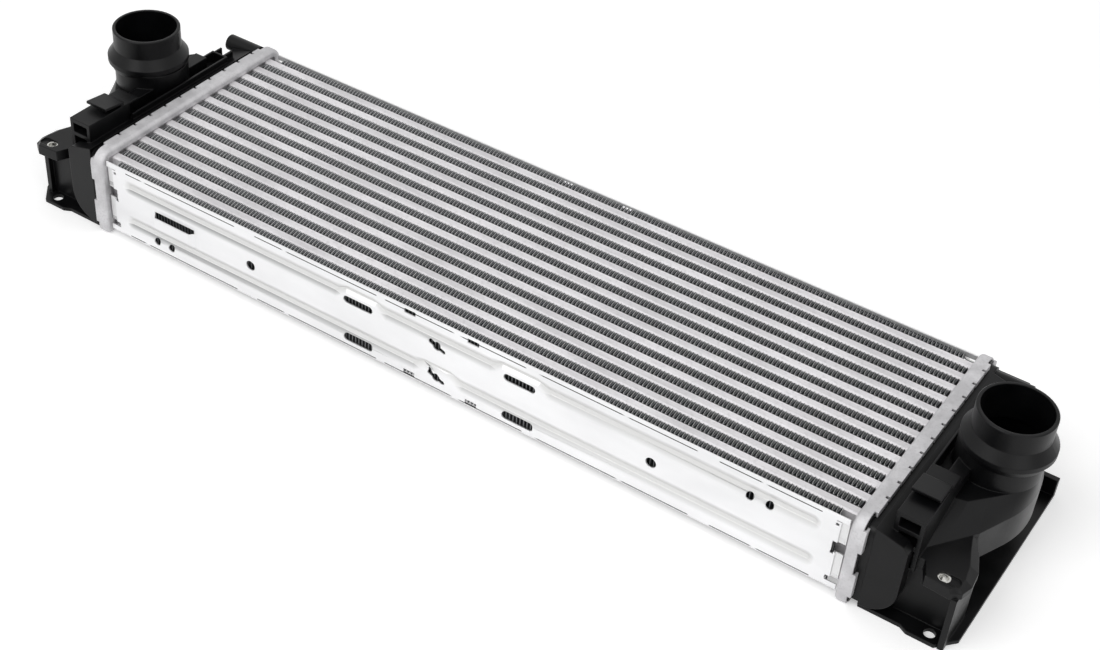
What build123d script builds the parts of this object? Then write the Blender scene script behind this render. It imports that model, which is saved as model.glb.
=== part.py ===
from build123d import *
import os

os.makedirs("parts", exist_ok=True)

# Intercooler with a brazed aluminium core between two moulded air tanks.
# Millimetres. X runs along the tubes, Y across the stack and Z up out of the hose necks.
# X = 0 and Y = 0 are the middle of the core, and Z = 0 is the plane that the part lies on.

# Core
tube_count = 13
tube_pitch = 15.26
tube_thickness = 7.8
tube_wall = 0.5
tube_nose_wall = 1.5
tube_corner = 1.2
core_depth = 64.0
core_bottom = 6.0
core_top = core_bottom + core_depth
core_mid = core_bottom + core_depth / 2
fin_height = tube_pitch - tube_thickness
fin_foil = 0.3
fin_folds = 12
stack_half = (tube_count * tube_thickness + (tube_count + 1) * fin_height) / 2
turbulator_foil = 0.4
turbulator_folds = 5

# Headers, pressed trays with a rim round the tube plate, crimped over the tank feet
header_face = 326.5
header_edge = 338.0
header_wall = 1.6
header_width = 217.0
header_low = 0.3
header_top = 76.7
header_low_corner = 5.0
header_top_corner = 12.0
header_nose = 3.0
least_corner = 1.0
rim_depth = 3.0
recess_margin = 0.4
recess_side_margin = 5.0
recess_corner = 3.0
recess_half_width = (tube_count - 1) / 2 * tube_pitch + tube_thickness / 2 + recess_side_margin
plate_back = header_face + rim_depth + header_wall
crimp_lip = 4.4
crimp_notch_width = 2.4
crimp_notch_depth = 2.6
crimp_notch_count = 10
crimp_notch_pitch = 17.7
crimp_notch_middle = 3.65
corner_cut_y = 92.5
end_gaps = ((header_low - 1, 9.8), (30.8, 51.0), (70.0, header_top + 1))
tube_slot_clearance = 0.05
tube_stub = 0.6
tube_half_length = plate_back + tube_stub
fin_half_length = header_face - 2.5
outer_fin_half_length = header_face - 9.5

# Seal in the gutter between each header tray and the foot of its tank
foot_clearance = 0.3
seal_start = header_face + header_wall
foot_start = plate_back + tube_stub + foot_clearance
seal_thickness = foot_start - seal_start

# Side plates
plate_thickness = 1.2
plate_half_web = outer_fin_half_length - 1
plate_half_length = header_face - 1.5
plate_low = core_bottom
plate_high = core_top + 0.5
plate_edge_strip = 4.5
plate_joggle = 1.2
tongue_fit = 0.2
tongue_spans = ((15.0, 37.4), (47.0, 65.0))
bead_width = 13.6
bead_height = 2.6
bead_slope = 62.0
bead_left = 14 - plate_half_web
bead_right = plate_half_web - 16
upper_bead_z = 54.5
lower_bead_z = 21.0
bead_jog = 6.0
plate_slot_x = (-76.0, 68.0)
plate_slot_z = (13.9, 50.0)
plate_slot_length = 27.0
plate_slot_width = 6.4
round_holes = ((-179.4, core_mid - 1), (178.0, core_mid - 1))
round_hole_radius = 4.25
small_holes = ((-276.4, 14.4), (-261.6, 14.4), (253.4, 49.6), (268.4, 49.6))
small_hole_radius = 3.1
key_holes = ((-4, 46.8), (-4, 17.4))
key_radius = 3.5
key_length = 16.0
key_turn = -20.0
window_x = (-28.5, 27.5)
window_z = (9.0, 66.4)
window_length = 10.0
window_height = 4.0
relief_x = plate_half_web + 0.8
relief_z = (12.8, 36.8, 62.4)
relief_width = 2.4
bridge_x = -256.2
bridge_z = 31.5
bridge_length = 40.4
bridge_width = 9.4
bridge_window = 9.0
bridge_rise = 2.6

# Air tanks
tank_wall = 3.0
foot_end = header_edge - header_wall
body_start = header_edge + 4
body_out = body_start + 24.5
body_half = header_width / 2 - 4.5
body_low = 3.0
body_root_top = 74.5
body_out_top = 69.0
body_low_radius = 24.0
far_step_y = 88.0
far_step_top = 66.0
volute_low = 30.0
volute_top = 56.0
shoulder_top = 70.0
block_top = 79.0
neck_x = body_start + 38
neck_y = 8.0
neck_radius = 30.0
neck_wall = 3.2
block_in = neck_x - 21
block_far = neck_y + 43
volute_foot = [(neck_x + x, y) for x, y in ((25, 38), (14, 64), (-6, 88), (-21, 88), (-21, -84), (-10, -82),
                                            (14, -48), (25, -22))]
volute_shoulder = [(neck_x + x, y) for x, y in ((24.8, 24.8), (1, 60), (-9, 60), (-21, 60), (-21, -42),
                                                (-9, -42), (-1, -40), (23, -11.2))]
volute_hollow = [(neck_x + x, y) for x, y in ((22, 37), (11, 62), (-9, 85), (-18, 85), (-18, -80),
                                              (-11, -78), (11, -47), (22, -21))]
spigot_x = neck_x + 2.8
spigot_radius = 27.5
spigot_bore = 24.9
spigot_top = 119.7
flare_top = 103.5
flare_low = 95.5
flare_radius = 33.0
flare_bead_low = 91.5
groove_low = 90.0
groove_radius = 31.4
ridge_in = body_start + 8
ridge_out = ridge_in + 20.5
ridge_near = -95.0
ridge_far = -40.0
ridge_low = 44.0
ridge_top = 88.0
pocket_depth = 12.0
rail_in = body_start + 5.2
rail_out = rail_in + 16.3
prong_length = 10.0
rail_wall = 1.6
rail_top = 78.2
rail_floor = 66.0
rail_near = -50.0
rail_far = 64.0
base_thickness = 3.0
base_out = neck_x + neck_radius + 0.5
base_near = -106.0
base_far = 80.0
base_end_wall = 4.5
base_end_height = 17.0
skirt_y = -91.6
skirt_wall = 3.0
corner_wall_x = base_out - 7.9
corner_wall = 4.2
corner_wall_far = -70.0
right_corner_wall_near = -105.0
left_corner_wall_near = -96.0
lug_top = 56.0
lug_thickness = 9.0
lug_edge = 4.0
lug_foot = [(base_out + x, y) for x, y in ((-46.5, -92), (-35.5, -92), (-30, -104.5), (-11.5, -106),
                                           (-4.5, -101), (-2, -92), (-3.5, -78), (-9.5, -63), (-16.5, -49),
                                           (-46.5, -70))]
lug_crown = [(base_out + x, y) for x, y in ((-46.5, -92), (-35.5, -92), (-30, -104.5), (-12.5, -106),
                                            (-8.5, -99), (-7.5, -92), (-10, -79), (-14.5, -67), (-19.5, -52),
                                            (-46.5, -70))]
lug_hole_x = base_out - 19.5
lug_hole_y = -98.0
lug_slot_length = 16.0
lug_slot_depth = 1.5
bush_radius = 4.4
bush_bore = 3.2
bush_length = 8.0
base_hole_x = base_out - 18.5
base_hole_y = -98.2
base_hole_radius = 4.2
peg_y = 95.0
peg_radius = 7.0
peg_end = body_out + 4.5
left_peg_z = 69.5
right_peg_z = 63.5


def folded_band(length, height, foil, folds, flat):
    """Corners of a strip folded to and fro, along its length, between two walls."""
    swing = height / 2 - foil / 2
    corners = []
    for fold in range(2 * folds + 1):
        along = -length / 2 + fold * length / (2 * folds)
        corners.append((along, swing if fold % 2 else -swing))
    upper = [(along, across + foil / 2) for along, across in corners]
    lower = [(along, across - foil / 2) for along, across in reversed(corners)]
    points = upper + lower
    return points if flat else [(across, along) for along, across in points]


# Flat tubes, with a folded strip brazed inside each
for index in range(tube_count):
    tube_y = (index - (tube_count - 1) / 2) * tube_pitch

    with BuildPart() as tube:
        with BuildSketch(Plane.YZ.offset(-tube_half_length)) as tube_section:
            with Locations((tube_y, core_mid)):
                Rectangle(tube_thickness, core_depth)
            chamfer(tube_section.vertices(), tube_corner)
            with Locations((tube_y, core_mid)):
                Rectangle(tube_thickness - 2 * tube_wall, core_depth - 2 * tube_nose_wall,
                          mode=Mode.SUBTRACT)
        extrude(amount=2 * tube_half_length)
    tube.part.label = f"tube_{index + 1:02d}"
    export_step(tube.part, f"parts/tube_{index + 1:02d}.step")

    with BuildPart() as turbulator:
        with BuildSketch(Plane.YZ.offset(-tube_half_length)):
            with Locations((tube_y, core_mid)):
                Polygon(*folded_band(core_depth - tube_thickness, tube_thickness - 2 * tube_wall,
                                     turbulator_foil, turbulator_folds, False), align=None)
        extrude(amount=2 * tube_half_length)
    turbulator.part.label = f"turbulator_{index + 1:02d}"
    export_step(turbulator.part, f"parts/turbulator_{index + 1:02d}.step")

# Folded cooling fins between the tubes, and between the outer tubes and the side plates
for index in range(tube_count + 1):
    fin_y = (index - tube_count / 2) * tube_pitch
    outer_row = index in (0, tube_count)
    half_length = outer_fin_half_length if outer_row else fin_half_length

    with BuildPart() as fin:
        with BuildSketch(Plane.XY.offset(core_bottom)):
            with Locations((0, fin_y)):
                Polygon(*folded_band(2 * half_length, fin_height, fin_foil, fin_folds, True), align=None)
        extrude(amount=core_depth)
    fin.part.label = f"cooling_fin_{index + 1:02d}"
    export_step(fin.part, f"parts/cooling_fin_{index + 1:02d}.step")


def tray_outline(inset):
    """Outline of a header tray seen along the tubes, drawn in by an inset."""
    with BuildSketch() as outline:
        with Locations((0, (header_low + header_top) / 2)):
            Rectangle(header_width - 2 * inset, header_top - header_low - 2 * inset)
        fillet(outline.vertices().sort_by(Axis.Y)[:2], max(header_low_corner - inset, least_corner))
        fillet(outline.vertices().sort_by(Axis.Y)[-2:], max(header_top_corner - inset, least_corner))
    return outline.sketch


def recess_outline(outset):
    """Outline of the recess that holds the tube plate, drawn out by an outset."""
    with BuildSketch() as outline:
        with Locations((0, core_mid)):
            RectangleRounded(2 * (recess_half_width + outset), core_depth + 2 * (recess_margin + outset),
                             recess_corner + outset)
    return outline.sketch


tray_outer = tray_outline(0)
tray_inner = tray_outline(header_wall)
lip_inner = tray_outline(crimp_lip)
foot_outline = tray_outline(header_wall + foot_clearance)
foot_neck_outline = tray_outline(crimp_lip + foot_clearance)
foot_hollow_outline = tray_outline(crimp_lip + tank_wall)
recess = recess_outline(0)
gutter_inner = recess_outline(header_wall)

# Header trays
with BuildPart() as right_header:
    with BuildSketch(Plane.YZ.offset(header_face)):
        add(tray_outer)
    extrude(amount=header_edge - header_face)
    fillet(right_header.faces().sort_by(Axis.X)[0].edges(), header_nose)
    # Hollow for the tank foot, gutter for the seal, and the tube plate set back inside the rim
    with BuildSketch(Plane.YZ.offset(plate_back)):
        add(tray_inner)
    extrude(amount=foot_end - plate_back, mode=Mode.SUBTRACT)
    with BuildSketch(Plane.YZ.offset(seal_start)):
        add(tray_inner)
        add(gutter_inner, mode=Mode.SUBTRACT)
    extrude(amount=plate_back - seal_start, mode=Mode.SUBTRACT)
    with BuildSketch(Plane.YZ.offset(header_face)):
        add(recess)
    extrude(amount=rim_depth, mode=Mode.SUBTRACT)
    with BuildSketch(Plane.YZ.offset(foot_end)):
        add(lip_inner)
    extrude(amount=header_wall, mode=Mode.SUBTRACT)
    with BuildSketch(Plane.YZ.offset(header_face + rim_depth)) as tube_slots:
        with Locations((0, core_mid)):
            with GridLocations(tube_pitch, 1, tube_count, 1):
                Rectangle(tube_thickness + 2 * tube_slot_clearance, core_depth + 2 * tube_slot_clearance)
        chamfer(tube_slots.vertices(), tube_corner)
    extrude(amount=header_wall, mode=Mode.SUBTRACT)
    # Gaps between the crimped tabs, narrow along the sides and wide on the ends and corners
    with BuildSketch(Plane.YZ.offset(header_edge)):
        with Locations((crimp_notch_middle, (header_low + header_top) / 2)):
            with GridLocations(crimp_notch_pitch, 1, crimp_notch_count, 1):
                Rectangle(crimp_notch_width, header_top - header_low + 2)
        gap_width = header_width / 2 + 1 - corner_cut_y
        for side in (-1, 1):
            for low, high in end_gaps:
                with Locations((side * (corner_cut_y + gap_width / 2), (low + high) / 2)):
                    Rectangle(gap_width, high - low)
    extrude(amount=-crimp_notch_depth, mode=Mode.SUBTRACT)
right_header.part.label = "right_header"
export_step(right_header.part, "parts/right_header.step")

with BuildPart() as left_header:
    mirror(right_header.part, about=Plane.YZ)
left_header.part.label = "left_header"
export_step(left_header.part, "parts/left_header.step")

# Seals in the gutter of each header, squeezed flat by the tank foot
with BuildPart() as right_seal:
    with BuildSketch(Plane.YZ.offset(seal_start)):
        add(tray_inner)
        add(gutter_inner, mode=Mode.SUBTRACT)
    extrude(amount=seal_thickness)
right_seal.part.label = "right_seal"
export_step(right_seal.part, "parts/right_seal.step")

with BuildPart() as left_seal:
    mirror(right_seal.part, about=Plane.YZ)
left_seal.part.label = "left_seal"
export_step(left_seal.part, "parts/left_seal.step")

# Side plates, one pressing used on both sides, turned half round for the far side
near_face = Plane.XZ.offset(stack_half)
outer_face = Plane.XZ.offset(stack_half + plate_thickness)

upper_bead = ((bead_left, upper_bead_z), (-97, upper_bead_z), (-87, upper_bead_z + bead_jog),
              (-61, upper_bead_z + bead_jog), (-51, upper_bead_z), (43, upper_bead_z),
              (53, upper_bead_z + bead_jog), (83, upper_bead_z + bead_jog), (93, upper_bead_z),
              (bead_right, upper_bead_z))
lower_bead = ((bead_left, lower_bead_z), (-24, lower_bead_z), (-15, lower_bead_z + bead_jog),
              (9, lower_bead_z + bead_jog), (18, lower_bead_z), (bead_right, lower_bead_z))

with BuildPart() as near_side_plate:
    with BuildSketch(near_face):
        plate_mid = (plate_low + plate_high) / 2
        with Locations((0, plate_mid)):
            Rectangle(2 * plate_half_web, plate_high - plate_low)
        for strip_z in (plate_low + plate_edge_strip / 2, plate_high - plate_edge_strip / 2):
            with Locations((0, strip_z)):
                Rectangle(2 * plate_half_length, plate_edge_strip)
        for low, high in tongue_spans:
            with Locations((0, (low + high) / 2)):
                Rectangle(2 * (outer_fin_half_length + 2 * plate_thickness), high - low)
    extrude(amount=plate_thickness)
    with BuildSketch(Plane.XZ.offset(stack_half - plate_joggle)):
        tongue_start = outer_fin_half_length + tongue_fit
        for side in (-1, 1):
            for low, high in tongue_spans:
                with Locations((side * (tongue_start + plate_half_length) / 2, (low + high) / 2)):
                    Rectangle(plate_half_length - tongue_start, high - low)
    extrude(amount=plate_joggle)
    for bead in (upper_bead, lower_bead):
        upper_edge = [(x, z + bead_width / 2) for x, z in bead]
        lower_edge = [(x, z - bead_width / 2) for x, z in bead]
        for face, mode in ((outer_face, Mode.ADD), (near_face, Mode.SUBTRACT)):
            with BuildSketch(face):
                with BuildLine():
                    Polyline(*upper_edge)
                    Polyline(*lower_edge)
                    ThreePointArc(upper_edge[0], (bead[0][0] - bead_width / 2, bead[0][1]), lower_edge[0])
                    ThreePointArc(upper_edge[-1], (bead[-1][0] + bead_width / 2, bead[-1][1]),
                                  lower_edge[-1])
                make_face()
            extrude(amount=bead_height, taper=bead_slope, mode=mode)
    # Bolt slots and round holes in the web
    with BuildSketch(outer_face):
        with Locations(*[(x, z) for x in plate_slot_x for z in plate_slot_z]):
            SlotOverall(plate_slot_length, plate_slot_width)
        with Locations(*round_holes):
            Circle(round_hole_radius)
        with Locations(*small_holes):
            Circle(small_hole_radius)
        with Locations(*key_holes):
            Circle(key_radius)
            SlotOverall(key_length, key_radius, rotation=key_turn)
        with Locations(*[(x, z) for x in window_x for z in window_z]):
            Rectangle(window_length, window_height)
        with Locations(*[(side * relief_x, z) for side in (-1, 1) for z in relief_z]):
            Rectangle(relief_width, relief_width)
    extrude(amount=2 * bead_height, both=True, mode=Mode.SUBTRACT)
    # Lanced bridge near the left end, with an open window above it
    with BuildSketch(outer_face):
        with Locations((bridge_x, bridge_z)):
            Rectangle(bridge_length, bridge_width)
        with Locations((bridge_x, bridge_z + bridge_width / 2 + bridge_window / 2)):
            Rectangle(bridge_length, bridge_window)
    extrude(amount=2 * bead_height, both=True, mode=Mode.SUBTRACT)
    with BuildSketch(Plane.XY.offset(bridge_z - bridge_width / 2)):
        with BuildLine():
            bridge_y = -(stack_half + plate_thickness)
            Polyline((bridge_x - bridge_length / 2 - 1, bridge_y),
                     (bridge_x - bridge_length / 2 + bridge_rise, bridge_y - bridge_rise),
                     (bridge_x + bridge_length / 2 - bridge_rise, bridge_y - bridge_rise),
                     (bridge_x + bridge_length / 2 + 1, bridge_y),
                     (bridge_x + bridge_length / 2 + 1, bridge_y + plate_thickness),
                     (bridge_x + bridge_length / 2 - bridge_rise, bridge_y + plate_thickness - bridge_rise),
                     (bridge_x - bridge_length / 2 + bridge_rise, bridge_y + plate_thickness - bridge_rise),
                     (bridge_x - bridge_length / 2 - 1, bridge_y + plate_thickness),
                     close=True)
        make_face()
    extrude(amount=bridge_width)
near_side_plate.part.label = "near_side_plate"
export_step(near_side_plate.part, "parts/near_side_plate.step")

with BuildPart() as far_side_plate:
    add(near_side_plate.part.rotate(Axis.Z, 180))
far_side_plate.part.label = "far_side_plate"
export_step(far_side_plate.part, "parts/far_side_plate.step")


def tank(peg_z, corner_wall_near):
    """The air tank of the right-hand end, with its hose neck, brackets and clips."""
    with BuildPart() as shell:
        # Foot held by the header tray, and the wall that rises from it
        with BuildSketch(Plane.YZ.offset(foot_start)):
            add(foot_outline)
        extrude(amount=foot_end - foot_start)
        with BuildSketch(Plane.YZ.offset(foot_end)):
            add(foot_neck_outline)
        extrude(amount=body_start - foot_end)

        # Rounded body along the header
        with BuildSketch(Plane.XZ.offset(-body_half)):
            with BuildLine():
                arc_x = body_out - body_low_radius
                Line((body_start, body_low), (arc_x, body_low))
                CenterArc((arc_x, body_low + body_low_radius), body_low_radius, -90, 90)
                Line((body_out, body_low + body_low_radius), (body_out, body_out_top - 4))
                Line((body_out, body_out_top - 4), (body_out - 4, body_out_top))
                Line((body_out - 4, body_out_top), (body_start, body_root_top))
                Line((body_start, body_root_top), (body_start, body_low))
            make_face()
        extrude(amount=2 * body_half)
        with Locations((body_start, far_step_y, far_step_top)):
            Box(60, 60, 60, align=(Align.MIN, Align.MIN, Align.MIN), mode=Mode.SUBTRACT)

        # Volute under the hose neck, upright below and drawn in to the neck above
        for outline, level in ((volute_foot, volute_low), (volute_foot, volute_top)):
            with BuildSketch(Plane.XY.offset(level)):
                with BuildLine():
                    Polyline(*outline)
                    ThreePointArc(outline[-1], (neck_x + neck_radius + 1, neck_y), outline[0])
                make_face()
            if level == volute_low:
                extrude(amount=volute_top - volute_low)
        with BuildSketch(Plane.XY.offset(shoulder_top)):
            with BuildLine():
                Polyline(*volute_shoulder)
                ThreePointArc(volute_shoulder[-1], (neck_x + neck_radius, neck_y), volute_shoulder[0])
            make_face()
        loft(ruled=True)
        with BuildSketch(Plane.XY.offset(volute_top)):
            with Locations(((block_in + ridge_out) / 2, (ridge_far + block_far) / 2)):
                Rectangle(ridge_out - block_in, block_far - ridge_far)
        extrude(amount=block_top - volute_top)

        # Hose neck and spigot with its flared stop bead
        with BuildSketch(Plane.XY.offset(volute_low)):
            with Locations((neck_x, neck_y)):
                Circle(neck_radius)
        extrude(amount=groove_low - volute_low)
        with BuildSketch(Plane.XZ.offset(-neck_y)) as spigot_profile:
            with BuildLine():
                Polyline((spigot_x, groove_low - 4), (spigot_x + neck_radius, groove_low - 4),
                         (spigot_x + groove_radius, groove_low),
                         (spigot_x + groove_radius, flare_bead_low - 0.5),
                         (spigot_x + flare_radius, flare_bead_low), (spigot_x + flare_radius, flare_low),
                         (spigot_x + spigot_radius, flare_top), (spigot_x + spigot_radius, spigot_top - 0.6),
                         (spigot_x + spigot_radius - 0.6, spigot_top), (spigot_x, spigot_top), close=True)
            make_face()
        revolve(axis=Axis((spigot_x, neck_y, 0), (0, 0, 1)))

        # Ridge beside the near end, with three pockets in its end face and a hook on top
        with BuildSketch(Plane.XY.offset(ridge_low)):
            with Locations(((ridge_in + ridge_out) / 2, (ridge_near + ridge_far) / 2)):
                Rectangle(ridge_out - ridge_in, ridge_far - ridge_near)
        extrude(amount=ridge_top - ridge_low)
        with BuildSketch(Plane.XZ.offset(-ridge_near)):
            with Locations((ridge_in + 10.2, 80.4)):
                Rectangle(14.4, 8.2)
            with Locations((ridge_in + 10.6, 69)):
                Rectangle(13.2, 8)
            with Locations((ridge_in + 14, 53.5)):
                Rectangle(6.6, 15)
        extrude(amount=-pocket_depth, mode=Mode.SUBTRACT)
        with BuildSketch(Plane.YZ.offset(ridge_in)):
            with BuildLine():
                Polyline((-56, ridge_top - 1), (-56, 91.6), (-76, 94), (-76, 91.8), (-59, 89.8),
                         (-59, ridge_top - 1), close=True)
            make_face()
        extrude(amount=ridge_out - ridge_in)

        # Cable rail between the header and the neck
        rail_length = rail_far - rail_near
        with Locations((rail_in + rail_wall, rail_near, rail_floor)):
            Box(block_in - rail_in - rail_wall, rail_length, 20, align=(Align.MIN, Align.MIN, Align.MIN),
                mode=Mode.SUBTRACT)
        with BuildSketch(Plane.XY.offset(volute_low)):
            with Locations((neck_x, neck_y)):
                Circle(neck_radius)
        extrude(amount=groove_low - volute_low)
        with BuildSketch(Plane.XY.offset(rail_floor)):
            with Locations((rail_in + rail_wall / 2, (rail_near + rail_far) / 2)):
                Rectangle(rail_wall, rail_length)
            with Locations(((rail_in + rail_out) / 2, rail_far - rail_wall / 2)):
                Rectangle(rail_out - rail_in, rail_wall)
            with Locations((rail_out - rail_wall / 2, (block_far + rail_far) / 2)):
                Rectangle(rail_wall, rail_far - block_far)
            with Locations((rail_in + 13.8, rail_far + 3), (rail_in + 3.8, rail_far + 5)):
                Rectangle(rail_wall, prong_length)
        extrude(amount=rail_top - rail_floor)

        # Base flange with its end wall
        with BuildSketch():
            with BuildLine():
                Polyline((body_start, base_near + 3), (base_out - 37.5, base_near + 3),
                         (base_out - 32, base_near), (base_out - 12, base_near), (base_out, base_near + 14),
                         (base_out, base_far), (body_start, base_far), close=True)
            make_face()
        extrude(amount=base_thickness)
        with BuildSketch():
            with Locations(((body_out - 4 + base_out) / 2, base_far - base_end_wall / 2)):
                Rectangle(base_out - body_out + 4, base_end_wall)
        extrude(amount=base_end_height)

        # Skirt walls from the base flange up to the mounting lug
        with BuildSketch():
            with Locations(((block_in + tank_wall + corner_wall_x) / 2, skirt_y + skirt_wall / 2)):
                Rectangle(corner_wall_x - block_in - tank_wall, skirt_wall)
            with Locations((corner_wall_x, (corner_wall_near + corner_wall_far) / 2)):
                Rectangle(corner_wall, corner_wall_far - corner_wall_near)
        extrude(amount=lug_top - lug_thickness)
        with BuildSketch(Plane.XY.offset(lug_top - lug_thickness)):
            with BuildLine():
                Polyline(*lug_foot, close=True)
            make_face()
        extrude(amount=lug_thickness - lug_edge)
        for outline, level in ((lug_foot, lug_top - lug_edge), (lug_crown, lug_top)):
            with BuildSketch(Plane.XY.offset(level)):
                with BuildLine():
                    Polyline(*outline, close=True)
                make_face()
        loft(ruled=True)

        # Hollow inside, open to the header and up through the neck
        with BuildSketch(Plane.YZ.offset(foot_start)):
            add(foot_hollow_outline)
        extrude(amount=body_start - foot_start, mode=Mode.SUBTRACT)
        with BuildSketch(Plane.XZ.offset(-far_step_y)):
            with BuildLine():
                inner_x = body_out - tank_wall
                inner_low = body_low + tank_wall
                inner_radius = body_low_radius - tank_wall
                Line((body_start - 1, inner_low), (inner_x - inner_radius, inner_low))
                CenterArc((inner_x - inner_radius, inner_low + inner_radius), inner_radius, -90, 90)
                Line((inner_x, inner_low + inner_radius), (inner_x, 42))
                Line((inner_x, 42), (inner_x - 2, rail_floor - tank_wall))
                Line((inner_x - 2, rail_floor - tank_wall), (body_start - 1, rail_floor - tank_wall))
                Line((body_start - 1, rail_floor - tank_wall), (body_start - 1, inner_low))
            make_face()
        extrude(amount=far_step_y + body_half - tank_wall, mode=Mode.SUBTRACT)
        with BuildSketch(Plane.XY.offset(volute_low + tank_wall)):
            with BuildLine():
                Polyline(*volute_hollow)
                ThreePointArc(volute_hollow[-1], (neck_x + neck_radius + 1 - tank_wall, neck_y),
                              volute_hollow[0])
            make_face()
        extrude(amount=volute_top - volute_low - 2 * tank_wall, mode=Mode.SUBTRACT)
        with BuildSketch(Plane.XY.offset(volute_low + tank_wall)):
            with Locations((neck_x, neck_y)):
                Circle(neck_radius - neck_wall)
        extrude(amount=groove_low - volute_low - tank_wall, mode=Mode.SUBTRACT)
        with BuildSketch(Plane.XY.offset(groove_low - 5)):
            with Locations((spigot_x, neck_y)):
                Circle(spigot_bore)
        extrude(amount=spigot_top - groove_low + 10, mode=Mode.SUBTRACT)

        # Holes in the lug and in the base flange
        with BuildSketch(Plane.XY.offset(lug_top)):
            with Locations((lug_hole_x + 3.5, lug_hole_y)):
                SlotOverall(lug_slot_length, 2 * bush_radius - 0.4)
        extrude(amount=-lug_slot_depth, mode=Mode.SUBTRACT)
        with BuildSketch(Plane.XY.offset(lug_top)):
            with Locations((lug_hole_x, lug_hole_y)):
                Circle(bush_radius)
        extrude(amount=-lug_thickness, mode=Mode.SUBTRACT)
        with BuildSketch():
            with Locations((base_hole_x, base_hole_y)):
                Circle(base_hole_radius)
        extrude(amount=base_thickness, mode=Mode.SUBTRACT)

        # Locating peg at the far end
        with BuildSketch(Plane.YZ.offset(header_edge + foot_clearance)):
            with Locations((peg_y, peg_z)):
                Circle(peg_radius)
        extrude(amount=peg_end - header_edge - foot_clearance)
    return shell.part


with BuildPart() as right_tank:
    add(tank(right_peg_z, right_corner_wall_near))
right_tank.part.label = "right_tank"
export_step(right_tank.part, "parts/right_tank.step")

with BuildPart() as left_tank:
    mirror(tank(left_peg_z, left_corner_wall_near), about=Plane.YZ)
left_tank.part.label = "left_tank"
export_step(left_tank.part, "parts/left_tank.step")

# Steel bushes in the mounting lugs
with BuildPart() as right_lug_bush:
    with BuildSketch(Plane.XY.offset(lug_top - lug_thickness)):
        with Locations((lug_hole_x, lug_hole_y)):
            Circle(bush_radius)
            Circle(bush_bore, mode=Mode.SUBTRACT)
    extrude(amount=bush_length)
right_lug_bush.part.label = "right_lug_bush"
export_step(right_lug_bush.part, "parts/right_lug_bush.step")

with BuildPart() as left_lug_bush:
    mirror(right_lug_bush.part, about=Plane.YZ)
left_lug_bush.part.label = "left_lug_bush"
export_step(left_lug_bush.part, "parts/left_lug_bush.step")
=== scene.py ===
# %% [markdown]
# # An intercooler
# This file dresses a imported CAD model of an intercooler: a brazed aluminium core of flat tubes and folded
# fins between two black moulded air tanks. The CAD solids are already in place, in metres, and this file
# gives them their finishes, adds what is too fine for the solids, and sets the stage, lamps and camera.

# %% Load the frame
import math
import bmesh
import bpy
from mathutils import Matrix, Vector


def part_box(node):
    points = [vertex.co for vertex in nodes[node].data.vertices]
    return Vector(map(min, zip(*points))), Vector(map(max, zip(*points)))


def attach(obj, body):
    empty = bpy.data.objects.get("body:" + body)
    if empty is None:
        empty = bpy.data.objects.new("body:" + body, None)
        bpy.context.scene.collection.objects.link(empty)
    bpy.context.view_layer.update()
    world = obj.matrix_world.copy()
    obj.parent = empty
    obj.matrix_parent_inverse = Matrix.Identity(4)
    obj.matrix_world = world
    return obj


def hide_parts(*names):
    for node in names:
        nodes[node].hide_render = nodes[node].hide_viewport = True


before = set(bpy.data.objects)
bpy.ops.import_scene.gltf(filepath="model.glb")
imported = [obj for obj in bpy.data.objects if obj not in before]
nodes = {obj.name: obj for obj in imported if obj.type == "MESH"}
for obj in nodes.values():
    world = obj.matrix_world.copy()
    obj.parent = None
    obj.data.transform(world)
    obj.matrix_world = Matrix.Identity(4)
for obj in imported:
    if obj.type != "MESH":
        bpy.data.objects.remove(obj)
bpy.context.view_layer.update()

# %% [markdown]
# Everything in this file is worked out in millimetres, as the real part would be drawn, and turned to
# Blender's metres by one factor. Colours are written as sRGB hex values, the way a colour picker shows
# them, and one function turns them to the linear values that the shader needs.

# %% Units and colours
mm = 0.001


def linear(hex_colour):
    """sRGB hex text to a linear RGBA value."""
    channels = [int(hex_colour[i:i + 2], 16) / 255 for i in (1, 3, 5)]
    return [c / 12.92 if c <= 0.04045 else ((c + 0.055) / 1.055) ** 2.4 for c in channels] + [1.0]


# %% [markdown]
# A material is a small network of nodes. One helper adds a node, sets its options and fills its inputs,
# either with a value or with the output of an earlier node, so that each material below reads as a recipe.

# %% A helper for nodes
def add(tree, kind, inputs=None, **options):
    """Adds a node of that kind, sets its options, and fills or links its inputs."""
    node = tree.nodes.new(kind)
    for name, value in options.items():
        setattr(node, name, value)
    for name, value in (inputs or {}).items():
        if isinstance(value, bpy.types.NodeSocket):
            tree.links.new(value, node.inputs[name])
        else:
            node.inputs[name].default_value = value
    return node


def maths(tree, operation, *values):
    """The result of one maths node on those values or sockets."""
    return add(tree, "ShaderNodeMath", dict(enumerate(values)), operation=operation).outputs[0]


def object_axes(tree):
    """The X, Y and Z outputs of the piece's own coordinates."""
    place = add(tree, "ShaderNodeTexCoord")
    return add(tree, "ShaderNodeSeparateXYZ", {0: place.outputs["Object"]}).outputs


def new_material(name, base, metallic, roughness):
    """A material with one principled shader, and the tree to add to."""
    material = bpy.data.materials.new(name)
    material.use_nodes = True
    shader = material.node_tree.nodes["Principled BSDF"]
    shader.inputs["Base Color"].default_value = linear(base)
    shader.inputs["Metallic"].default_value = metallic
    shader.inputs["Roughness"].default_value = roughness
    return material, material.node_tree, shader


# %% [markdown]
# Real surfaces are never one flat value. The next helpers give noise with a grain of a stated size in
# millimetres, read from the piece's own coordinates, and spread it over a range of roughness or colour.

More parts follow.
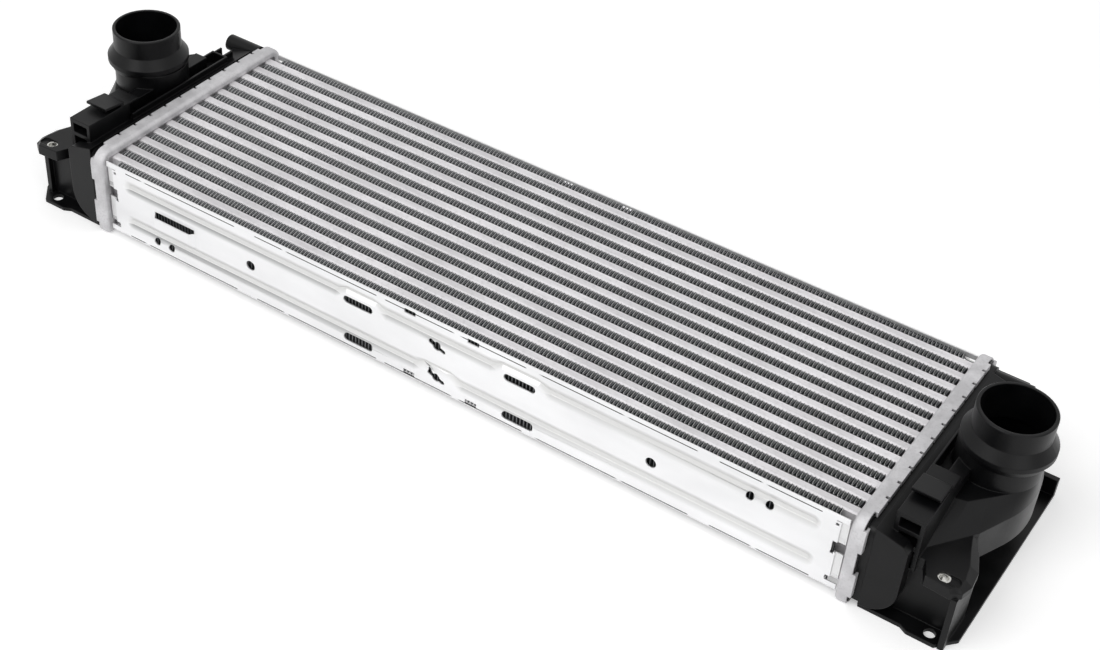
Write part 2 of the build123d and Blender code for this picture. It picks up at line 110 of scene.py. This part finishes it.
# %% Helpers for variation
def grain(tree, size, detail=4.0, stretch=(1, 1, 1), shift=(0, 0, 0)):
    """Noise from 0 to 1 on the piece's own coordinates, its grains about size millimetres across."""
    place = add(tree, "ShaderNodeTexCoord")
    scaled = add(tree, "ShaderNodeMapping",
                 {"Vector": place.outputs["Object"], "Scale": stretch, "Location": shift})
    noise = add(tree, "ShaderNodeTexNoise",
                {"Vector": scaled.outputs["Vector"], "Scale": 1 / (size * mm), "Detail": detail})
    return noise.outputs[0]


def spread(tree, factor, low, high, start=0.3, end=0.7):
    """Takes the part of a factor between start and end to the range low to high."""
    ranged = add(tree, "ShaderNodeMapRange",
                 {"Value": factor, "From Min": start, "From Max": end, "To Min": low, "To Max": high})
    return ranged.outputs["Result"]


def blend(tree, factor, first, second):
    """Blends two colours, each a hex text or a socket, by a factor."""
    mix = tree.nodes.new("ShaderNodeMix")
    mix.data_type = "RGBA"
    tree.links.new(factor, mix.inputs[0])
    for index, colour in ((6, first), (7, second)):
        if isinstance(colour, str):
            mix.inputs[index].default_value = linear(colour)
        else:
            tree.links.new(colour, mix.inputs[index])
    return mix.outputs[2]


def bump(tree, height, distance, strength=1.0, edge_radius=0.0):
    """A bump normal from a height of 0 to 1, its full depth and the radius of soft edges in millimetres."""
    node = add(tree, "ShaderNodeBump", {"Height": height, "Distance": distance * mm, "Strength": strength})
    if edge_radius:
        soft = add(tree, "ShaderNodeBevel", {"Radius": edge_radius * mm}, samples=6)
        tree.links.new(soft.outputs["Normal"], node.inputs["Normal"])
    return node.outputs["Normal"]


def finish(tree, shader, **sockets):
    """Links the shader's inputs, with spaces in their names written as underscores."""
    for name, socket in sockets.items():
        tree.links.new(socket, shader.inputs[name.replace("_", " ")])


# %% [markdown]
# The tubes are rolled from clad aluminium sheet, and the whole core is brazed in a furnace. The clad layer
# melts and runs, and the flux leaves a thin cloudy film, so the tubes are pale and satin, with soft
# patches and faint streaks along the rolling direction.

# %% Brazed tube aluminium
tube_metal, tree, shader = new_material("brazed clad aluminium sheet", "#DAD8DA", 0.45, 0.6)
clouds = grain(tree, 22, 5.0, (0.35, 1, 1))
specks = grain(tree, 3.2, 3.0)
streaks = grain(tree, 1.6, 2.0, (0.04, 1, 1))
flux_film_and_painted_reflection = blend(tree, spread(tree, clouds, 0, 1, 0.38, 0.64), "#D3D1D3", "#E9E7E9")
tinted = blend(tree, spread(tree, specks, 0, 0.35, 0.5, 0.72), flux_film_and_painted_reflection, "#BBB9BB")
finish(tree, shader, Base_Color=tinted, Roughness=spread(tree, clouds, 0.5, 0.68),
       Normal=bump(tree, streaks, distance=0.02, strength=0.5))

# %% [markdown]
# The header trays are pressed from thicker sheet. Pressing leaves them smoother than the tubes, and the
# furnace leaves the same cloudy film in smaller patches, with a fine speckle of flux. Their edges are
# drawn a little soft, as the sheet bends over the tool.

# %% Pressed aluminium of the header trays
header_metal, tree, shader = new_material("pressed and brazed aluminium", "#CFD0D2", 0.45, 0.6)
clouds = grain(tree, 14, 5.0)
specks = grain(tree, 1.8, 3.0)
flux_film_and_painted_reflection = blend(tree, spread(tree, clouds, 0, 1, 0.36, 0.66), "#C1C0C2", "#D9D8DA")
speckled = blend(tree, spread(tree, specks, 0, 0.25, 0.5, 0.7), flux_film_and_painted_reflection, "#A8A7A9")
dents = grain(tree, 2.4, 3.0)
finish(tree, shader, Base_Color=speckled, Roughness=spread(tree, clouds, 0.5, 0.66),
       Normal=bump(tree, dents, distance=0.08, strength=0.6, edge_radius=0.8))

# %% [markdown]
# The side plates are the brightest sheet of the core. Masks on the piece's own coordinates paint three more
# things on them. A dashed dark line near each long edge is painted shade, and the sheet is not cut there.
# The floors of the two long grooves, which lie deeper than the sheet, are painted a little darker as shade
# in the hollows. A grey line along the lower foot of each groove is a painted reflection, stronger towards
# the left end and fading to the right. Whether it is a film of flux or a reflection can't be told from the
# photograph.

# %% Pressed aluminium of the side plates
plate_metal, tree, shader = new_material("pressed aluminium side plate", "#F1F1F2", 0.6, 0.5)
dark_line_heights, dark_line_half_width, dark_line_reach = (67.2 * mm, 7.2 * mm), 0.42 * mm, 305 * mm
groove_floor, sheet_face = 102 * mm, 104 * mm
foot_heights, foot_half_width = (50.1 * mm, 16.6 * mm), 1.9 * mm
film_left, film_right = -200 * mm, 150 * mm
along, across, up = object_axes(tree)


def near_heights(tree, up, heights, half_width):
    """A mask of 1 where the height up is within half a width of one of two heights."""
    bands = [maths(tree, "COMPARE", up, height, half_width) for height in heights]
    return maths(tree, "MAXIMUM", *bands)


clouds = grain(tree, 45, 4.0, (0.4, 1, 1))
rolling = grain(tree, 1.2, 2.0, (0.05, 1, 1))
sheet = blend(tree, spread(tree, clouds, 0, 1, 0.36, 0.66), "#E9E9EA", "#F5F5F6")
# Painted shade: the floors of the grooves are painted darker by how deep they lie below the sheet face.
sunk_painted_shade = spread(tree, maths(tree, "ABSOLUTE", across), 1, 0, groove_floor, sheet_face)
# Painted reflection: a grey line along the lower foot of each groove, fading from left to right.
flux_film_and_painted_reflection = spread(tree, along, 0.8, 0.15, film_left, film_right)
painted_reflection_line = maths(tree, "MULTIPLY", near_heights(tree, up, foot_heights, foot_half_width),
             maths(tree, "MULTIPLY", sunk_painted_shade, flux_film_and_painted_reflection))
grooved = blend(tree, painted_reflection_line, blend(tree, sunk_painted_shade, sheet, "#DCDCDB"), "#6F7072")
# Painted shade: dashed dark lines near the long edges, in the colour only.
broken_in_places = spread(tree, grain(tree, 34, 1.0, (1, 0, 0)), 0, 1, 0.41, 0.43)
within = maths(tree, "COMPARE", along, 0.0, dark_line_reach)
painted_dark_line = maths(tree, "MULTIPLY", near_heights(tree, up, dark_line_heights, dark_line_half_width),
             maths(tree, "MULTIPLY", broken_in_places, within))
finish(tree, shader, Base_Color=blend(tree, painted_dark_line, grooved, "#1E1F21"),
       Roughness=spread(tree, clouds, 0.36, 0.48),
       Normal=bump(tree, rolling, distance=0.01, strength=0.4, edge_radius=0.7))

# %% [markdown]
# The fins are foil a tenth of a millimetre thick, folded to and fro and cut with louvres that turn the
# cooling air from fold to fold. The louvres are about a millimetre apart, too fine for geometry over
# thousands of folds, so a wave on the piece's Z coordinate tilts the foil at that pitch and paints it in
# light and dark stripes, as painted light and shade. The plain edge of each fold, about a millimetre deep,
# is painted bright as lit, and the louvred foil behind it is painted dark as the shade deep between the
# folds. One wall of every fold is painted lighter than the other, as a lit and a shaded wall. Louvres that
# open the other way in every second wall would do that, but they are too small to be seen there, so it is a
# guess, and the two walls simply get a tone each. The outermost crests, seen through the holes of the side
# plates, are painted as paler bars, a painted highlight.
# A wave texture at scale 1 repeats every 0.314 m, which wave_unit turns into a pitch.

# %% Louvred fin foil
fin_pitch = 3.05 * mm
louvre_pitch = 1.3 * mm
edge_depth = 1.1 * mm
wave_unit = 0.314
outer_crest, past_crest = 101.5 * mm, 101.65 * mm
fin_metal, tree, shader = new_material("louvred aluminium fin foil", "#A9ABAE", 0.3, 0.55)
along, across, up = object_axes(tree)
fin_low, fin_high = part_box("cooling_fin_02")
# Painted light and shade: the plain edges at the top and bottom of the foil are painted bright, the foil
# between them dark.
upper_edge = spread(tree, up, 0, 1, fin_high.z - edge_depth, fin_high.z - 0.5 * edge_depth)
lower_edge = spread(tree, up, 1, 0, fin_low.z + 0.5 * edge_depth, fin_low.z + edge_depth)
painted_edge_light = maths(tree, "MAXIMUM", upper_edge, lower_edge)
place = add(tree, "ShaderNodeTexCoord")
louvres = add(tree, "ShaderNodeTexWave",
              {"Vector": place.outputs["Object"], "Scale": wave_unit / louvre_pitch, "Distortion": 0.0},
              bands_direction="Z").outputs[1]
stripes = spread(tree, louvres, 0, 1, 0.25, 0.6)
# Painted light and shade: one wall of each fold gets a lit tone, the other a shaded tone.
turns = maths(tree, "MULTIPLY", along, 2 * math.pi / fin_pitch)
rising = spread(tree, maths(tree, "COSINE", turns), 0, 1, -0.2, 0.2)
lit_wall_tone = blend(tree, stripes, "#3C3E40", "#747679")
shaded_wall_tone = blend(tree, stripes, "#18191A", "#343638")
# Painted highlight: the outermost crests, seen through the holes of the side plates, are painted paler.
crest = spread(tree, maths(tree, "ABSOLUTE", across), 0, 1, outer_crest, past_crest)
painted_shade_in_depth = blend(tree, crest, blend(tree, rising, lit_wall_tone, shaded_wall_tone), "#6E6F71")
plain = blend(tree, rising, "#FAFAFA", "#989A9D")
finish(tree, shader, Base_Color=blend(tree, painted_edge_light, painted_shade_in_depth, plain),
       Normal=bump(tree, louvres, distance=0.25, strength=0.8))

# %% Turbulator foil
inner_metal, tree, shader = new_material("folded turbulator foil", "#A2A4A7", 1.0, 0.45)
finish(tree, shader, Roughness=spread(tree, grain(tree, 6), 0.38, 0.55))

# %% [markdown]
# The air tanks are injection moulded from black nylon filled with glass fibre. The mould's fine grain
# scatters light, and the fibres and the flow of the melt leave patches that shine a little more or less.

# %% Glass-filled nylon
nylon, tree, shader = new_material("black glass-filled nylon", "#070708", 0.0, 0.36)
shader.inputs["Specular IOR Level"].default_value = 0.2
flow = grain(tree, 26, 4.0)
pores = grain(tree, 0.9, 3.0)
finish(tree, shader, Base_Color=blend(tree, spread(tree, flow, 0, 1), "#050506", "#0C0C0D"),
       Roughness=spread(tree, flow, 0.3, 0.44),
       Normal=bump(tree, pores, distance=0.05, strength=0.5, edge_radius=1.0))

# %% [markdown]
# The bush in each lug is turned steel with a bright zinc plate, and the seal is black rubber.

# %% Steel and rubber
steel, tree, shader = new_material("bright zinc-plated steel", "#C9C8C4", 1.0, 0.24)
finish(tree, shader, Roughness=spread(tree, grain(tree, 1.5), 0.18, 0.32))

rubber, tree, shader = new_material("black seal rubber", "#161616", 0.0, 0.7)
finish(tree, shader, Roughness=spread(tree, grain(tree, 2.0), 0.6, 0.8))

# %% Give every CAD node its finish
finishes = {"tube": tube_metal, "turbulator": inner_metal, "cooling_fin": fin_metal, "header": header_metal,
            "seal": rubber, "side_plate": plate_metal, "tank": nylon, "bush": steel}
for name, node in nodes.items():
    material = next(finishes[word] for word in finishes if word in name)
    node.data.materials.clear()
    node.data.materials.append(material)
print("finished nodes:", len(nodes))

# %% [markdown]
# Each row of fin is one strip of foil, folded about 213 times. The solid fin of the CAD model has far
# fewer folds, so a strip with the real pitch takes its place. Every fold is the same, so Geometry Nodes
# build one strip from a grid: the grid is fine along X, and the height of each point follows its index
# along the strip, flat at the crests and steep in between. Extruding its faces gives the foil thickness.
# The two outer rows are a little lower than the rest, to leave room for the grooves of the side plates.

# %% A geometry nodes tree for folded foil
def folded_foil_tree():
    """A tree that folds a strip between two walls, with its sizes as inputs."""
    tree = bpy.data.node_groups.new("folded_foil", "GeometryNodeTree")
    kinds = {"Middle": "Vector", "Length": "Float", "Height": "Float", "Depth": "Float", "Pitch": "Float",
             "Foil": "Float", "Finish": "Material"}
    for name, kind in kinds.items():
        tree.interface.new_socket(name, in_out="INPUT", socket_type="NodeSocket" + kind)
    tree.interface.new_socket("Geometry", in_out="OUTPUT", socket_type="NodeSocketGeometry")
    given = tree.nodes.new("NodeGroupInput").outputs
    steps_per_fold = 8
    steepness = 1.6

    folds = maths(tree, "ROUND", maths(tree, "DIVIDE", given["Length"], given["Pitch"]))
    points = maths(tree, "ADD", maths(tree, "MULTIPLY", folds, steps_per_fold), 1.0)
    strip = add(tree, "GeometryNodeMeshGrid", {"Size X": given["Length"], "Size Y": given["Depth"],
                                               "Vertices X": points, "Vertices Y": 2})
    position = add(tree, "ShaderNodeSeparateXYZ", {0: add(tree, "GeometryNodeInputPosition").outputs[0]})
    turns = maths(tree, "DIVIDE", position.outputs[0], given["Pitch"])
    phase = maths(tree, "MULTIPLY", turns, 2 * math.pi)
    steep = maths(tree, "MULTIPLY", maths(tree, "SINE", phase), steepness)
    wave = add(tree, "ShaderNodeClamp", {"Value": steep, "Min": -1.0, "Max": 1.0}).outputs[0]
    swing = maths(tree, "MULTIPLY", maths(tree, "SUBTRACT", given["Height"], given["Foil"]), 0.5)
    sideways = maths(tree, "MULTIPLY", wave, swing)
    folded = add(tree, "ShaderNodeCombineXYZ",
                 {0: position.outputs[0], 1: sideways, 2: position.outputs[1]})
    placed = add(tree, "ShaderNodeVectorMath",
                 {0: folded.outputs[0], 1: given["Middle"]}, operation="ADD")
    shaped = add(tree, "GeometryNodeSetPosition",
                 {"Geometry": strip.outputs[0], "Position": placed.outputs[0]})
    thick = add(tree, "GeometryNodeExtrudeMesh",
                {"Mesh": shaped.outputs[0], "Offset Scale": given["Foil"], "Individual": False})
    both = add(tree, "GeometryNodeJoinGeometry")
    flipped = add(tree, "GeometryNodeFlipFaces", {0: shaped.outputs[0]})
    tree.links.new(flipped.outputs[0], both.inputs[0])
    tree.links.new(thick.outputs[0], both.inputs[0])
    closed = add(tree, "GeometryNodeMergeByDistance",
                 {"Geometry": both.outputs[0], "Distance": 0.01 * mm})
    real = add(tree, "GeometryNodeRealizeInstances", {"Geometry": closed.outputs[0]})
    coated = add(tree, "GeometryNodeSetMaterial",
                 {"Geometry": real.outputs[0], "Material": given["Finish"]})
    add(tree, "NodeGroupOutput", {0: coated.outputs[0]})
    return tree


# %% [markdown]
# A modifier's inputs are set through the identifier of each socket, before anything is evaluated. The
# evaluated result is then copied to a plain mesh, because a plain mesh is what other programs can read.

# %% From a tree to a plain mesh
def made_by(tree, name, **values):
    """A plain mesh object made by a geometry nodes tree with those input values."""
    carrier = bpy.data.objects.new(name, bpy.data.meshes.new(name + "_carrier"))
    bpy.context.scene.collection.objects.link(carrier)
    modifier = carrier.modifiers.new("shape", "NODES")
    modifier.node_group = tree
    for item in tree.interface.items_tree:
        if item.in_out == "INPUT" and item.name in values:
            modifier[item.identifier] = values[item.name]
    graph = bpy.context.evaluated_depsgraph_get()
    mesh = bpy.data.meshes.new_from_object(carrier.evaluated_get(graph))
    carrier.modifiers.clear()
    carrier.data = mesh
    mesh.name = name
    return carrier


# %% [markdown]
# Every row of the core takes one strip, between the walls that the solid fin stands between.

# %% Fin rows
foil_tree = folded_foil_tree()
fin_foil = 0.12 * mm
outer_row_limit = 101.7 * mm
for name in sorted(n for n in nodes if n.startswith("cooling_fin")):
    low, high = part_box(name)
    low.y, high.y = max(low.y, -outer_row_limit), min(high.y, outer_row_limit)
    row = made_by(foil_tree, name.replace("cooling_fin", "fin_row"), Middle=(low + high) / 2,
                  Length=high.x - low.x, Height=high.y - low.y, Depth=high.z - low.z, Pitch=fin_pitch,
                  Foil=fin_foil, Finish=fin_metal)
    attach(row, "root")
    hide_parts(name)
print("faces in one fin row:", len(row.data.polygons))

# %% [markdown]
# Each side plate is stiffened by two long grooves, pressed in towards the core. They narrow and step up
# where they pass over a slot or a key hole. A strip near one end is lanced out as a bridge. The CAD solid
# has its beads standing proud of the sheet and even in width. Here a copy of its mesh is pressed the other
# way: each point of a bead moves in by a share of its own height over the sheet, so the outline and the
# holes stay. The steps are drawn in to the width that the photograph shows. That also draws up the tip of
# the lower key hole by 3 mm, a fault that is left. The bridge's crest goes up and out to where it is seen,
# and the top of the window over it comes down a little.

# %% Sizes of the pressing
plate_outer = 104.12 * mm
plate_thickness = 1.2 * mm
bead_height = 2.6 * mm
bead_width = 13.6 * mm
groove_depth = 2.2 * mm
groove_sheet = 0.15 * mm
press_outer = 1 + groove_depth / bead_height
press_inner = 1 + (groove_depth + groove_sheet - plate_thickness) / bead_height

bridge_x, bridge_half, bridge_crest_half = -256.2 * mm, 20.5 * mm, 17.8 * mm
bridge_low, bridge_high, window_high = 26.8 * mm, 36.2 * mm, 45.2 * mm
bridge_stretch, bridge_lift, window_drop = 1.6, 4.8 * mm, 1.2 * mm
close_by = 0.1 * mm

# A step of a groove: its two ends, the lowest point that moves, its foot in the solid and on the real
# plate, and the share of its width that stays.
step_height = 15 * mm
groove_steps = ((-92 * mm, -56 * mm, 53.5 * mm, 53.7 * mm, 55.8 * mm, 7.2 * mm / bead_width),
                (48 * mm, 88 * mm, 53.5 * mm, 53.7 * mm, 55.8 * mm, 7.2 * mm / bead_width),
                (-19.5 * mm, 13.5 * mm, 20.95 * mm, 20.2 * mm, 23.7 * mm, 6.2 * mm / bead_width))
print("an outer point of a bead moves in by", round(press_outer, 3), "of its height, an inner one by",
      round(press_inner, 3))


# %% Side plates with grooves
def pressed_point(along, out, up, outer):
    """Where a point of the CAD plate goes, seen from outside: along X, out from the core, and up."""
    height = max(out - (plate_outer if outer else plate_outer - plate_thickness), 0.0)
    from_bridge = abs(along - bridge_x)
    crest = from_bridge < bridge_crest_half and bridge_low - close_by < up < bridge_high + close_by
    if crest or (from_bridge < bridge_half and abs(up - bridge_high) < close_by):
        return along, out + height * (bridge_stretch - 1), up + bridge_lift
    if from_bridge < bridge_half and abs(up - window_high) < close_by:
        return along, out, up - window_drop
    for left, right, lowest, old_foot, new_foot, share in groove_steps:
        if left < along < right and lowest < up < lowest + step_height:
            up = new_foot + (up - old_foot) * share
    return along, out - height * (press_outer if outer else press_inner), up


def grooved_plate(node_name, way_out):
    """A copy of a side plate with its beads pressed in; way_out is the sign of Y away from the core."""
    shell = bmesh.new()
    shell.from_mesh(nodes[node_name].data)
    bmesh.ops.remove_doubles(shell, verts=shell.verts, dist=0.001 * mm)
    shell.verts.index_update()
    shell.normal_update()
    outward = [face for face in shell.faces if face.normal.y * way_out > 0.3]
    outer = {vert.index for face in outward for vert in face.verts}
    for vert in shell.verts:
        x, y, z = vert.co
        along, out, up = pressed_point(-x * way_out, y * way_out, z, vert.index in outer)
        vert.co = (-along * way_out, out * way_out, up)
    shell.normal_update()
    mesh = bpy.data.meshes.new(node_name + "_pressing")
    shell.to_mesh(mesh)
    shell.free()
    mesh.materials.append(plate_metal)
    plate = bpy.data.objects.new(node_name + "_pressing", mesh)
    bpy.context.scene.collection.objects.link(plate)
    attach(plate, "root")
    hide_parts(node_name)
    return plate


for name, way_out in (("near_side_plate", -1), ("far_side_plate", 1)):
    plate = grooved_plate(name, way_out)
    depths = [v.co.y * way_out / mm for v in plate.data.vertices]
    print(name, "reaches from", round(min(depths), 2), "to", round(max(depths), 2), "mm")

# %% [markdown]
# The part lies on a pale floor in a bright studio. The floor glows a little for the camera and in
# reflections, which lifts it to white and still leaves the part's own shadow. The sky shows white to the
# camera and in reflections too, through the Light Path node, so the lamps can stay gentle.

# %% Stage
reach = 8.0
floor_glow = 0.34
sky_on_part, sky_seen = 0.55, 1.0


def seen_or_mirrored(tree):
    """1 for camera rays and for rays that a surface mirrors, 0 for the rays that light things."""
    path = add(tree, "ShaderNodeLightPath").outputs
    return maths(tree, "MAXIMUM", path["Is Camera Ray"], path["Is Glossy Ray"])


floor_mesh = bpy.data.meshes.new("floor")
floor_mesh.from_pydata([(-reach, -reach, 0), (reach, -reach, 0), (reach, reach, 0), (-reach, reach, 0)], [],
                       [(0, 1, 2, 3)])
floor = bpy.data.objects.new("floor", floor_mesh)
bpy.context.scene.collection.objects.link(floor)
floor_paint, tree, shader = new_material("pale studio floor", "#F4F4F4", 0.0, 0.9)
shader.inputs["Emission Color"].default_value = linear("#FFFFFF")
finish(tree, shader, Emission_Strength=maths(tree, "MULTIPLY", seen_or_mirrored(tree), floor_glow))
floor_mesh.materials.append(floor_paint)

world = bpy.data.worlds.new("studio")
bpy.context.scene.world = world
world.use_nodes = True
tree = world.node_tree
sky = tree.nodes["Background"]
sky.inputs["Color"].default_value = linear("#FFFFFF")
strength = add(tree, "ShaderNodeMapRange",
               {"Value": seen_or_mirrored(tree), "To Min": sky_on_part, "To Max": sky_seen})
tree.links.new(strength.outputs["Result"], sky.inputs["Strength"])
print("lift of the floor for the camera:", floor_glow, "strength of the sky on the part:", sky_on_part)

# %% Lamps
def soft_lamp(name, place, size, power):
    """A square area lamp at that place in metres, turned to the middle of the part."""
    lamp = bpy.data.objects.new(name, bpy.data.lights.new(name, "AREA"))
    lamp.data.size = size
    lamp.data.energy = power
    lamp.location = place
    lamp.rotation_euler = (-Vector(place)).to_track_quat("-Z", "Y").to_euler()
    bpy.context.scene.collection.objects.link(lamp)


soft_lamp("key", (-0.6, -1.8, 2.2), 1.6, 26)
soft_lamp("fill", (1.9, -1.0, 1.6), 1.6, 10)

# %% Camera
camera = bpy.data.objects.new("camera", bpy.data.cameras.new("camera"))
camera.data.sensor_width = 36.0
camera.data.lens = 59.81
camera.data.clip_start = 0.05
camera.data.clip_end = 40.0
camera.location = (575.6 * mm, -932.7 * mm, 898.2 * mm)
camera.rotation_euler = [math.radians(a) for a in (50.697, -3.722, 33.467)]
bpy.context.scene.collection.objects.link(camera)
bpy.context.scene.camera = camera
bpy.context.scene.view_settings.view_transform = "Standard"
